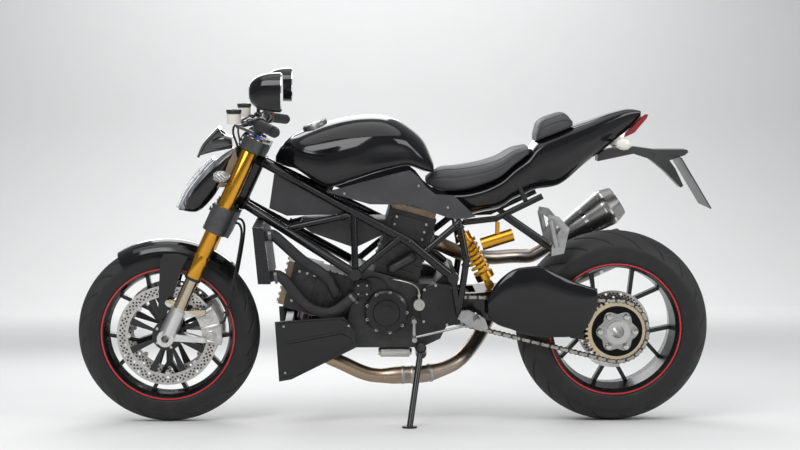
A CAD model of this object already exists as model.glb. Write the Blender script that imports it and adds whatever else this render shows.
import math

import bpy
import numpy as np
from mathutils import Matrix


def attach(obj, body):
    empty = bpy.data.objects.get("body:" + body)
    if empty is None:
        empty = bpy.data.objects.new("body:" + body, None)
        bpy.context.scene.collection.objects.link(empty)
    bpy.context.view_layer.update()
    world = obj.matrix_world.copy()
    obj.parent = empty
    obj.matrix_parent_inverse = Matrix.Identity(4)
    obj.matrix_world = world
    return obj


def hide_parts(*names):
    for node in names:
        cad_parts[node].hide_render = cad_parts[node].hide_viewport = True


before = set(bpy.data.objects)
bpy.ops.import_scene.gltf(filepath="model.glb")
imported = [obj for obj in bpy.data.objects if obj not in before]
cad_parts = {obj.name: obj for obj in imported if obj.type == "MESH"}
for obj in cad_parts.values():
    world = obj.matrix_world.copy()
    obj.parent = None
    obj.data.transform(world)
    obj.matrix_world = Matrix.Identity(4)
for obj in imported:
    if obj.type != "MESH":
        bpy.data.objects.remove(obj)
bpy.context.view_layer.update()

bl_info = {
    "name": "Naked sport motorcycle",
    "version": (1, 0, 0),
    "blender": (4, 5, 0),
    "location": "View3D > Sidebar > Motorcycle",
    "description": "Finishes and small fittings of a naked sport motorcycle on its side stand",
    "category": "Object",
}

# The machine is laid out upright, in millimetres: X ahead of the rear axle, Y to the left, Z up.
# It then leans on its stand.
LEAN = math.radians(8.0)
SHIFT = np.array([-727.5, -1108.0 * math.sin(LEAN), 95.0 * (1.0 - math.cos(LEAN))])
TURN = np.array([[1.0, 0.0, 0.0],
                 [0.0, math.cos(LEAN), math.sin(LEAN)],
                 [0.0, -math.sin(LEAN), math.cos(LEAN)]])
ORIGIN = np.zeros(3)
LEFT = np.array([0.0, 1.0, 0.0])
UP = np.array([0.0, 0.0, 1.0])
FRONT = np.array([1475.0, 0.0, 300.0])
REAR = np.array([0.0, 0.0, 320.0])
RAKE = math.radians(24.5)
FORK_AHEAD = np.array([math.cos(RAKE), 0.0, math.sin(RAKE)])
FORK_UP = np.array([-math.sin(RAKE), 0.0, math.cos(RAKE)])


def park(points):
    """Upright millimetres to the leaning machine's metres: turn by the lean, then shift."""
    return (np.asarray(points, float) @ TURN.T + SHIFT) / 1000.0


def fork_point(u, y, w):
    """A point ahead (u), across (y) and up (w) along the raked fork, from the front axle."""
    return FRONT + FORK_AHEAD * u + LEFT * y + FORK_UP * w


# Shapes

def unit(v):
    """Vectors at length 1."""
    v = np.asarray(v, float)
    return v / np.linalg.norm(v, axis=-1, keepdims=True)


def round_angles(n):
    """n even angles round a circle."""
    return 2 * np.pi * np.arange(n) / n


def spoke(a):
    """Directions at angles round an axle that runs across the machine."""
    return np.stack([np.cos(a), 0 * a, np.sin(a)], -1)


def circle_of(centre, r, count, start=0.0, span=360.0):
    """Points round an axle that runs across the machine."""
    return np.asarray(centre, float) + r * spoke(np.radians(start + span * np.arange(count) / count))


def finer(rows, k):
    """Rows of a table on the smooth cubic through them, in k steps a span."""
    rows = np.asarray(rows, float)
    last = len(rows) - 1
    i = np.repeat(np.arange(last), k)
    t = np.tile(np.arange(k) / k, last)[:, None]
    a, b = rows[np.maximum(i - 1, 0)], rows[i]
    c, d = rows[i + 1], rows[np.minimum(i + 2, last)]
    curve = b + ((c - a) * t + (2 * a - 5 * b + 4 * c - d) * t ** 2 + (3 * b - a - 3 * c + d) * t ** 3) / 2
    return np.vstack([curve, rows[-1:]])


def rounded(n, power_up, power_down):
    """Side and height of n points round a superellipse: signed cosine and sine to the power 2 / p."""
    c, s = np.cos(round_angles(n)), np.sin(round_angles(n))
    p = 2.0 / np.where(s < 0, power_down, power_up)
    return np.sign(c) * np.abs(c) ** p, np.sign(s) * np.abs(s) ** p


def lengthwise(rows, k, n, power_up, power_down, waist):
    """Body along X: at each row a superellipse between top and bottom, widest at the waist share."""
    along, top, low, half = np.split(finer(rows, k), 4, axis=1)
    side, up = rounded(n, power_up, power_down)
    z = low + (top - low) * waist
    return np.stack([along + 0 * side, half * side, z + np.where(up < 0, z - low, top - z) * up], -1)


def slanted(rows, k, n, power):
    """Body over slanted sections: at each row a superellipse between a top and a bottom point."""
    x1, z1, x2, z2, half = np.split(finer(rows, k), 5, axis=1)
    side, up = rounded(n, power, power)
    return np.stack([(x1 + x2 + (x1 - x2) * up) / 2, half * side, (z1 + z2 + (z1 - z2) * up) / 2], -1)


def domed(grid, bulge):
    """The rings of a grid with both ends closed by a low dome that stands out by bulge."""
    t = np.linspace(0, np.pi / 2, 5)[1:, None, None]

    def end(ring, inner):
        mid = ring.mean(0)
        return mid + (ring - mid) * np.cos(t) + unit(mid - inner.mean(0)) * bulge * np.sin(t)
    return np.concatenate([end(grid[0], grid[1])[::-1], grid, end(grid[-1], grid[-2])])


def swept(route, d, n, side, k=6):
    """A round tube: a circle carried along the smooth curve through the route's points."""
    p = finer(route, k)
    t = np.gradient(p, axis=0)
    t[0], t[-1] = p[1] - p[0], p[-1] - p[-2]
    t = unit(t)
    normals = [np.asarray(side, float)]
    for row in t:
        normals.append(unit(normals[-1] - row * (normals[-1] @ row)))
    m = np.array(normals[1:])
    a = round_angles(n)[:, None]
    r = np.broadcast_to(np.asarray(d, float) / 2, (len(p),))[:, None, None]
    return p[:, None] + r * (m[:, None] * np.cos(a) + np.cross(m, t)[:, None] * np.sin(a))


def turned(profile, n, at, axis):
    """A profile of radius and height turned round an axis through a point."""
    profile = np.asarray(profile, float)[..., None, None]
    w = unit(axis)
    u = unit(np.cross(w, [0.31, 0.2, 0.93]))
    a = round_angles(n)[:, None]
    ring = np.cos(a) * u + np.sin(a) * np.cross(w, u)
    return np.asarray(at, float) + profile[:, 0] * ring + profile[:, 1] * w


def quads(grid, wrap_rows=False, close=True):
    """Corners and faces of a grid whose columns run round; open row ends get a fan to their middle."""
    m, n = grid.shape[:2]
    rows = np.arange(m if wrap_rows else m - 1)
    i, j = np.meshgrid(rows, np.arange(n), indexing="ij")
    i2, j2 = (i + 1) % m, (j + 1) % n
    faces = np.stack([i * n + j, i * n + j2, i2 * n + j2, i2 * n + j], -1).reshape(-1, 4)
    verts = grid.reshape(-1, 3)
    fans = np.zeros((0, 3), int)
    if close and not wrap_rows:
        j = np.arange(n)
        top = (m - 1) * n
        fans = np.concatenate([np.stack([np.full(n, m * n), (j + 1) % n, j], -1),
                               np.stack([np.full(n, m * n + 1), top + j, top + (j + 1) % n], -1)])
        verts = np.concatenate([verts, grid[:1].mean(1), grid[-1:].mean(1)])
    return verts, [faces, fans]


def outward(grid):
    """The grid with its columns turned round where its faces would point inwards."""
    v, (q, _) = quads(grid, close=False)
    a, b, c = v[q[:, 0]], v[q[:, 1]], v[q[:, 2]]
    volume = np.einsum("ij,ij->i", a - v.mean(0), np.cross(b - a, c - a)).sum()
    return grid if volume > 0 else grid[:, ::-1]


def hull(grid, wrap_rows=False):
    """Corners and faces of a grid, with its faces turned out."""
    return quads(outward(grid), wrap_rows)


def lathe(profile, n, at=ORIGIN, axis=UP, close=True):
    """Corners and faces of a turned profile."""
    return quads(turned(profile, n, at, axis), close=close)


def joined(parts):
    """Several sets of corners and faces as one."""
    verts, faces, start = [], [], 0
    for v, fs in parts:
        verts.append(v)
        faces += [f + start for f in fs]
        start += len(v)
    return np.concatenate(verts), faces


def both(part):
    """A shape and its mirror copy on the other side, whose faces are turned back out."""
    v, fs = part
    return joined([part, (v * [1, -1, 1], [f[:, ::-1] for f in fs])])


def copies(part, frames):
    """One shape at many places: each frame has an origin row and three axis rows."""
    v, fs = part
    moved = np.einsum("vi,kij->kvj", v, frames[:, 1:]) + frames[:, None, 0]
    start = np.arange(len(frames))[:, None, None] * len(v)
    return moved.reshape(-1, 3), [(f[None] + start).reshape(-1, f.shape[1]) for f in fs]


def frames_along(points, axes, size=1.0):
    """Frames for copies: each point's third axis lies along its direction, all times a size."""
    p = np.asarray(points, float)
    w = unit(np.broadcast_to(axes, p.shape))
    u = unit(np.cross(np.where(np.abs(w[:, 2:]) < 0.9, [[0.0, 0.0, 1.0]], [[1.0, 0.0, 0.0]]), w))
    return np.stack([p, u * size, np.cross(w, u) * size, w * size], 1)


# Head of a socket bolt: radius and height as shares of its half width
BOLT = lathe([(1, -0.3), (1, 0.75), (0.86, 1.0), (0.55, 1.0), (0.5, 0.5), (0.02, 0.45)], 12)


def bolts(points, axis, half):
    """Socket bolts at points, with their heads along an axis."""
    return copies(BOLT, frames_along(points, axis, half))


def meshed(name, corners, faces, material):
    """A smooth mesh from corners in metres."""
    mesh = bpy.data.meshes.new(name)
    mesh.from_pydata(corners.tolist(), [], [row for f in faces for row in f.tolist()])
    mesh.polygons.foreach_set("use_smooth", np.ones(len(mesh.polygons), bool))
    mesh.materials.append(material)
    return mesh


def added(name, data, matrix=None):
    """A new object in the scene."""
    o = bpy.data.objects.new(name, data)
    if matrix is not None:
        o.matrix_world = matrix
    bpy.context.scene.collection.objects.link(o)
    return o


def put(name, part, body, material, crease=40.0):
    """A piece from upright corners and faces, in the leaning frame, on a body."""
    mesh = meshed(name, park(part[0]), part[1], material)
    mesh.set_sharp_from_angle(angle=math.radians(crease))
    piece = added(name, mesh)
    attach(piece, body)
    return piece


def stand_in(name, part, body, node, material, crease=40.0):
    """A piece that shows in place of a CAD solid."""
    piece = put(name, part, body, material, crease)
    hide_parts(node)
    return piece


# Finishes

def joining(operation):
    """A method that joins two values by one math node."""
    return lambda self, other: self.math(operation, other)


class Wire:
    """A value in a material; sums and products of values add the nodes that they need."""

    def __init__(self, tree, socket):
        self.tree, self.socket = tree, socket

    def add(self, kind, inputs=None, out=0, **settings):
        """One more node: its type, the values or links of its sockets, what leaves it, its settings."""
        node = self.tree.nodes.new(kind)
        for key, value in settings.items():
            setattr(node, key, value)
        for key, value in (inputs or {}).items():
            if isinstance(value, Wire):
                self.tree.links.new(value.socket, node.inputs[key])
            else:
                node.inputs[key].default_value = value
        return Wire(self.tree, node.outputs[out])

    def math(self, operation, other=None):
        values = {0: self} if other is None else {0: self, 1: other}
        return self.add("ShaderNodeMath", values, operation=operation)

    __add__ = __radd__ = joining("ADD")
    __mul__ = __rmul__ = joining("MULTIPLY")
    __sub__ = joining("SUBTRACT")
    __truediv__ = joining("DIVIDE")
    __pow__ = joining("POWER")
    __gt__ = joining("GREATER_THAN")
    __lt__ = joining("LESS_THAN")

    def __rsub__(self, other):
        return self * -1.0 + other

    def __abs__(self):
        return self.math("ABSOLUTE")

    def wave(self, pitch):
        """A sine that repeats at a pitch."""
        return (self * (math.tau / pitch)).math("SINE")

    def ramp(self, low, high, bottom=0.0, top=1.0):
        """From bottom to top as the value goes from low to high."""
        return self.add("ShaderNodeMapRange", {"Value": self, "From Min": low, "From Max": high,
                                               "To Min": bottom, "To Max": top}, clamp=True)

    def between(self, low, high, soft=0.0):
        """1 between two values, with soft edges where asked."""
        if not soft:
            return (self > low) * (self < high)
        return self.ramp(low - soft, low) * (1.0 - self.ramp(high, high + soft))

    def mix(self, a, b):
        """Colour a where this is 0 and b where it is 1."""
        a, b = ((*c, 1.0) if isinstance(c, tuple) else c for c in (a, b))
        return self.add("ShaderNodeMix", {0: self, 6: a, 7: b}, 2, data_type="RGBA")

    def colours(self, stops):
        """The colour at this value along a row of stops, each a place and a colour."""
        wire = self.add("ShaderNodeValToRGB", {0: self})
        row = wire.socket.node.color_ramp.elements
        while len(row) < len(stops):
            row.new(0.5)
        for stop, (place, colour) in zip(row, stops):
            stop.position, stop.color = place, (*colour, 1.0)
        return wire

    def noise(self, scale, detail=2.0, rough=0.5):
        return self.add("ShaderNodeTexNoise", {"Vector": self, "Scale": scale, "Detail": detail,
                                               "Roughness": rough})

    def cells(self, scale):
        return self.add("ShaderNodeTexVoronoi", {"Vector": self, "Scale": scale})

    def stretched(self, scale):
        return self.add("ShaderNodeMapping", {"Vector": self, "Scale": scale})

    def bump(self, strength, distance):
        return self.add("ShaderNodeBump", {"Height": self, "Strength": strength, "Distance": distance})

    def upright(self, place=ORIGIN):
        """The three coordinates of the upright machine, in metres from a place on it."""
        seen = self.add("ShaderNodeMapping", {"Vector": self, "Location": tuple(park(place)),
                                              "Rotation": (-LEAN, 0.0, 0.0)}, vector_type="TEXTURE")
        node = self.add("ShaderNodeSeparateXYZ", {0: seen}).socket.node
        return [Wire(self.tree, out) for out in node.outputs]

    def round_axle(self, axle):
        """The three coordinates from an axle, and the distance from it."""
        x, y, z = self.upright(axle)
        return x, y, z, (x * x + z * z) ** 0.5


FINISHES = {}


def finish(name, surface, **fixed):
    """A material: surface gives what changes over it from its coordinates, fixed the rest."""
    material = bpy.data.materials.new(name)
    material.use_nodes = True
    tree = material.node_tree
    inputs = tree.nodes["Principled BSDF"].inputs
    for key, value in fixed.items():
        inputs[key.replace("_", " ")].default_value = value
    coords = Wire(tree, None).add("ShaderNodeTexCoord", out=3)
    for key, value in surface(coords).items():
        tree.links.new(value.socket, inputs[key])
    FINISHES[name] = material
    return material


def shade(colour, share, more=0.0):
    """A colour times a share, and a little more."""
    return tuple(min(1.0, c * share + more) for c in colour)


def worn(name, colours, patches, tint, gloss, grain, relief, **fixed):
    """A grained surface with patches of wear.

    Noise of the patches' scale, detail and roughness mixes two colours over the range tint, and gives the
    roughness over the range gloss. The grain comes from the coordinates; relief is its strength and depth.
    """
    def surface(p):
        wear = p.noise(*patches)
        return {"Base Color": wear.ramp(*tint).mix(*colours),
                "Roughness": wear.ramp(*gloss),
                "Normal": grain(p).bump(*relief)}
    return finish(name, surface, **fixed)


def paint(name, colour, rough):
    """Sprayed and lacquered paint: orange peel in the bump, faint dust in colour and gloss."""
    return worn(name, (colour, shade(colour, 1.04, 0.006)), patches=(9.0, 6.0, 0.65),
                tint=(0.42, 0.8, 0.0, 0.6), gloss=(0.35, 0.75, rough, rough * 1.8 + 0.03),
                grain=lambda p: p.noise(420.0, 1.0),
                relief=(0.05, 0.0006), Coat_Weight=0.25, Coat_Roughness=0.05, Specular_IOR_Level=0.3)


def cast(name, colour, rough, metal=0.75, grain=900.0, depth=0.0006):
    """Cast or blasted metal: fine grain in the bump, dirt in the low spots."""
    return worn(name, (shade(colour, 0.62), colour), patches=(22.0, 7.0, 0.7), tint=(0.35, 0.7),
                gloss=(0.3, 0.75, rough + 0.14, rough), grain=lambda p: p.noise(grain, 3.0, 0.6),
                relief=(0.35, depth), Metallic=metal)


def anodised(name, colour, rough):
    """Dyed aluminium: an even satin colour with faint handling marks."""
    return worn(name, (shade(colour, 0.88), colour), patches=(14.0, 5.0, 0.6), tint=(0.35, 0.75),
                gloss=(0.3, 0.7, rough, rough + 0.06), grain=lambda p: p.noise(1500.0, 2.0),
                relief=(0.04, 0.0003), Metallic=1.0)


def plastic(name, colour, rough):
    """Moulded plastic: a fine sparked grain and a little dust."""
    return worn(name, (colour, shade(colour, 1.35, 0.006)), patches=(14.0, 6.0, 0.7), tint=(0.45, 0.75),
                gloss=(0.3, 0.7, rough - 0.05, rough + 0.08), grain=lambda p: p.cells(1400.0),
                relief=(0.12, 0.0005))


def rubber(name, colour, rough):
    """Black rubber: dull patches and a soft grain."""
    return worn(name, (colour, shade(colour, 1.8, 0.01)), patches=(30.0, 6.0, 0.7), tint=(0.4, 0.8),
                gloss=(0.3, 0.7, rough, rough + 0.16), grain=lambda p: p.noise(700.0, 2.0),
                relief=(0.15, 0.0005))


def seat_cover(name, colour):
    """Grained seat vinyl: cells of a leather grain in the bump, and paler worn patches."""
    return worn(name, (colour, shade(colour, 1.7, 0.01)), patches=(11.0, 5.0, 0.6),
                tint=(0.4, 0.75, 0.0, 0.7), gloss=(0.3, 0.7, 0.52, 0.68),
                grain=lambda p: p.cells(420.0) * 0.8 + p.noise(900.0, 2.0) * 0.4,
                relief=(0.4, 0.0009), Sheen_Weight=0.15, Sheen_Roughness=0.5)


def brushed(name, colour, rough, stretch=(14.0, 600.0, 600.0)):
    """Brushed metal: fine streaks along one way, in gloss and bump."""
    def surface(p):
        streaks = p.stretched(stretch).noise(1.0, 4.0, 0.6)
        smears = p.noise(16.0, 4.0)
        return {"Base Color": (streaks * 0.5 + smears * 0.5).ramp(0.35, 0.65).mix(shade(colour, 0.8), colour),
                "Roughness": streaks.ramp(0.3, 0.7, rough * 0.75, rough * 1.35),
                "Normal": streaks.bump(0.12, 0.0004)}
    return finish(name, surface, Metallic=1.0)


def polished(name, colour, rough, scale=90.0):
    """Polished metal: even marks with no way of their own."""
    return brushed(name, colour, rough, (scale, scale, scale))


def wheel_paint(name, axle, colour, stripe):
    """Gloss wheel paint with a thin ring of stripe colour at the rim's edge."""
    def surface(p):
        ring = p.round_axle(axle)[3].between(0.2155, 0.2196)
        dust = p.noise(12.0, 6.0, 0.65)
        black = dust.ramp(0.45, 0.8).mix(colour, shade(colour, 1.0, 0.01))
        return {"Base Color": ring.mix(black, stripe),
                "Roughness": dust.ramp(0.35, 0.75, 0.2, 0.36),
                "Normal": p.noise(380.0, 1.0).bump(0.05, 0.0006)}
    return finish(name, surface, Coat_Weight=0.2, Coat_Roughness=0.08, Specular_IOR_Level=0.3)


def disc_steel(name, axle, colour, edge, band):
    """Brake steel: ground rings, three drilled rows on the band, and a black carrier inside it."""
    holes, bore = 56, 0.0034

    def surface(p):
        x, _, z, r = p.round_axle(axle)
        turn = z.math("ARCTAN2", x) * (holes / math.tau)
        drilled = 0.0
        for share, shift in ((0.3, 0.5), (0.49, 0.0), (0.68, 0.5)):
            row = edge - band * share
            arc = ((turn + shift).math("FRACT") - 0.5) * (math.tau / holes * row)
            drilled = (arc * arc + (r - row) ** 2.0 < bore ** 2) + drilled
        rings = r.add("ShaderNodeTexNoise", {"W": r, "Scale": 900.0, "Detail": 3.0}, noise_dimensions="1D")
        smear = p.noise(20.0, 4.0)
        ground = (rings * 0.6 + smear * 0.4).ramp(0.35, 0.65).mix(shade(colour, 0.72), colour)
        black = (drilled + (r < edge - band - 0.0005)).math("MINIMUM", 1.0)
        return {"Base Color": black.mix(ground, (0.012, 0.012, 0.013)),
                "Metallic": 1.0 - black,
                "Roughness": rings.ramp(0.3, 0.7, 0.22, 0.38) + black * 0.15,
                "Normal": (rings * (1.0 - black)).bump(0.15, 0.0004)}
    return finish(name, surface)


def tyre_rubber(name, axle, crown, half, grooves):
    """Tyre rubber: duller on the tread, black in its slanted grooves, with fine rings on the walls."""
    def surface(p):
        x, y, z, r = p.round_axle(axle)
        share = abs(y) / half
        turn = z.math("ARCTAN2", x) * (grooves / math.tau) - share ** 1.3 * 1.5 + (y < 0.0) * 0.5 + 8.0
        off = abs(turn.math("FRACT") - 0.5)
        sunk = off.ramp(0.045, 0.075, 1.0, 0.0) * share.between(0.16, 0.95, 0.02)
        tread = r.ramp(crown - 0.045, crown - 0.03)
        rings = (r * 2600.0).math("SINE") * (1.0 - tread)
        dust = p.noise(26.0, 6.0, 0.7)
        black = tread.mix((0.012, 0.012, 0.013), (0.026, 0.026, 0.027))
        dusty = (dust.ramp(0.5, 0.85) * 0.5).mix(black, (0.042, 0.041, 0.04))
        return {"Base Color": (sunk * tread).mix(dusty, (0.003, 0.003, 0.003)),
                "Roughness": tread * 0.2 + dust * 0.1 + 0.44,
                "Normal": (rings * 0.3 + p.noise(900.0, 2.0) * 0.7).bump(0.2, 0.0006)}
    return finish(name, surface, Specular_IOR_Level=0.35)


def sprocket_metal(name, brass, silver):
    """Sprocket: a brass ring of teeth, black inside it, and bare metal where hub and nuts stand out."""
    def surface(p):
        _, y, _, r = p.round_axle(REAR)
        ring = (r > 0.084).mix((0.008, 0.008, 0.009), brass)
        return {"Base Color": (y > 0.1205).mix(ring, silver),
                "Roughness": p.noise(40.0, 5.0, 0.6).ramp(0.3, 0.7, 0.24, 0.4),
                "Normal": p.noise(700.0, 2.0).bump(0.12, 0.0004)}
    return finish(name, surface, Metallic=0.9)


def leg_metal(name, tube, foot):
    """Fork leg: a hard polished tube above, and a satin cast foot that holds the axle."""
    def surface(p):
        x, _, z = p.upright(FRONT)
        hard = (z * math.cos(RAKE) - x * math.sin(RAKE)).ramp(0.107, 0.108)
        marks = p.noise(18.0, 5.0, 0.6)
        return {"Base Color": hard.mix(marks.ramp(0.3, 0.7).mix(shade(foot, 0.85), foot), tube),
                "Roughness": hard * -0.16 + marks * 0.06 + 0.25,
                "Normal": (p.noise(1300.0, 2.0) * (1.0 - hard)).bump(0.15, 0.0004)}
    return finish(name, surface, Metallic=1.0)


# Heat colours of the exhaust, from the back of the machine to the front
HEAT = [(0.0, (0.44, 0.42, 0.4)), (0.45, (0.38, 0.33, 0.28)), (0.72, (0.36, 0.28, 0.21)),
        (0.9, (0.4, 0.3, 0.2)), (1.0, (0.2, 0.17, 0.2))]


def header_metal(name):
    """Exhaust steel with heat colours: straw and brown by the engine, grey further back."""
    def surface(p):
        blotch = p.noise(12.0, 5.0, 0.6)
        return {"Base Color": ((p.upright()[0] + blotch * 0.12) / 1.1).colours(HEAT),
                "Roughness": blotch.ramp(0.3, 0.7, 0.24, 0.42),
                "Normal": p.noise(300.0, 2.0).bump(0.06, 0.0005)}
    return finish(name, surface, Metallic=1.0)


def fin_core(name, colour, half):
    """Radiator core: level tubes with fine upright fins between them, and plain tanks at both ends."""
    def surface(p):
        _, y, z = p.upright()
        fins = y.wave(0.0028)
        flat = z.wave(0.0095).ramp(0.35, 0.6)
        bright = flat * 0.6 + (1.0 - flat) * fins.ramp(-0.4, 0.9, 0.0, 0.5)
        tank = abs(y) > half - 0.022
        core = bright.mix((0.012, 0.012, 0.013), colour)
        return {"Base Color": tank.mix(core, (0.02, 0.02, 0.022)),
                "Roughness": flat.ramp(0.0, 1.0, 0.7, 0.42) * (1.0 - tank * 0.5),
                "Normal": ((flat + fins * 0.3 * (1.0 - flat)) * (1.0 - tank)).bump(0.7, 0.002)}
    return finish(name, surface, Metallic=0.6)


def spotted(name, colour, spot, centre, reach, rough):
    """Black plastic with a pair of pale lamps or cups, inside a box round each centre."""
    def surface(p):
        x, y, z = p.upright()
        inside = 1.0
        for value, middle, gap in zip((x, abs(y), z), centre, reach):
            inside = (abs(value - middle) < gap) * inside
        dust = p.noise(18.0, 5.0, 0.6)
        rings = z.wave(0.007) * inside
        return {"Base Color": inside.mix(dust.ramp(0.45, 0.75).mix(colour, shade(colour, 1.4)), spot),
                "Roughness": inside * (0.1 - rough) + dust * 0.12 + rough,
                "Normal": (rings * 0.5 + p.noise(900.0, 2.0) * 0.5).bump(0.12, 0.0006)}
    return finish(name, surface, Coat_Weight=0.25)


def ribbed_rubber(name, colour, pitch):
    """Grip rubber with close ribs round the bar and flats between them."""
    def surface(p):
        x, y, z = p.upright()
        ribs = y.wave(pitch)
        rows = (x + z).wave(0.006)
        return {"Base Color": ribs.ramp(-0.6, 0.8).mix(shade(colour, 0.5), colour),
                "Roughness": p.noise(40.0, 4.0).ramp(0.3, 0.7, 0.6, 0.78),
                "Normal": (ribs.ramp(-0.3, 0.5) * rows.ramp(-0.7, -0.2)).bump(0.7, 0.0015)}
    return finish(name, surface)


def lamp_plastic(name, colour, pitch):
    """Clear lamp plastic: fine prisms behind a smooth face."""
    def surface(p):
        x, y, z = p.upright()
        prisms = y.wave(pitch) * (x - z).wave(pitch)
        return {"Base Color": prisms.ramp(-0.5, 0.6).mix(shade(colour, 0.3), colour),
                "Roughness": p.noise(60.0, 3.0).ramp(0.3, 0.7, 0.05, 0.12),
                "Normal": prisms.bump(0.08, 0.001)}
    return finish(name, surface, Coat_Weight=0.4, Coat_Roughness=0.03)


def lamp_paint(name, colour):
    """Headlight paint: gloss black with two grooves, and the lens's clear flank along its front edge."""
    def surface(p):
        x, _, z = p.upright()
        t = (z - 0.714) / 0.2
        gap = 1.438 - (t * 0.0617 + t * t * 0.123 + x)
        flank = gap.ramp(0.021, 0.022, 1.0, 0.0)
        cut = abs(gap - 0.024) < 0.0016
        chin = (abs(z - 0.745 + (x - 1.41) * 0.55) < 0.0014) * (1.0 - flank)
        streaks = p.stretched((26.0, 240.0, 26.0)).noise(1.0, 3.0).ramp(0.4, 0.65)
        clear = streaks.mix((0.04, 0.042, 0.046), (0.34, 0.35, 0.37))
        return {"Base Color": flank.mix(colour, clear),
                "Roughness": p.noise(9.0, 5.0).ramp(0.35, 0.75, 0.06, 0.12),
                "Normal": (1.0 - (cut + chin).math("MINIMUM", 1.0)).bump(0.8, 0.002)}
    return finish(name, surface, Coat_Weight=0.3, Coat_Roughness=0.04, Specular_IOR_Level=0.35)


def clear_glass(name, colour, rough, **fixed):
    """Smooth glass or a mirror face with faint wipe marks."""
    def surface(p):
        wipe = p.stretched((40.0, 8.0, 60.0)).noise(1.0, 4.0)
        return {"Base Color": wipe.ramp(0.3, 0.8).mix(colour, shade(colour, 0.9)),
                "Roughness": wipe.ramp(0.4, 0.8, rough, rough + 0.05)}
    return finish(name, surface, **fixed)


# Sizes and colours that a user would change

def colour_prop(name, text, default):
    return bpy.props.FloatVectorProperty(name=name, description=text, default=default, size=3, min=0.0,
                                         max=1.0, subtype="COLOR")


def length_prop(name, text, default):
    return bpy.props.FloatProperty(name=name, description=text, default=default, min=0.0, unit="LENGTH")


class MotoLook(bpy.types.PropertyGroup):
    """Colours of the machine."""
    body: colour_prop("Body", "Gloss paint of tank, tail and mudguard", (0.005, 0.005, 0.006))
    stripe: colour_prop("Rim stripe", "Thin ring at the rims' edge", (0.6, 0.02, 0.02))
    panel: colour_prop("Side panel", "Satin panels beside the tank", (0.036, 0.036, 0.039))
    fork: colour_prop("Fork", "Anodised fork tubes and damper", (0.7, 0.345, 0.04))
    spring: colour_prop("Spring", "Painted coil of the rear damper", (0.8, 0.42, 0.02))
    cover: colour_prop("Cam covers", "Satin covers of the cylinders", (0.36, 0.28, 0.19))
    seat: colour_prop("Seat", "Seat cover", (0.03, 0.03, 0.032))
    tail: colour_prop("Tail lamp", "Red of the tail lamp", (0.34, 0.006, 0.009))


class MotoSizes(bpy.types.PropertyGroup):
    """Sizes of the small fittings."""
    groove: length_prop("Tread groove", "Depth of the grooves in the tyres", 0.0045)
    seam: length_prop("Seat seam", "Depth of the seams in the seat", 0.003)
    bolt: length_prop("Cover bolt", "Head diameter of the bolts in the engine covers", 0.011)
    weld: length_prop("Weld bead", "Thickness of the weld beads on the frame", 0.007)


class MotoStage(bpy.types.PropertyGroup):
    """Floor and camera."""
    floor: colour_prop("Floor", "Colour of the floor and the backdrop", (0.74, 0.74, 0.74))
    lens: bpy.props.FloatProperty(name="Lens", description="Focal length of the camera", default=68.25,
                                  min=10.0, subtype="DISTANCE_CAMERA")


def rgb(value):
    return tuple(float(c) for c in value)


def dress(names, material):
    """Gives CAD solids a finish."""
    for name in names.split():
        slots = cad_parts[name].data.materials
        slots.clear()
        slots.append(material)


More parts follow.
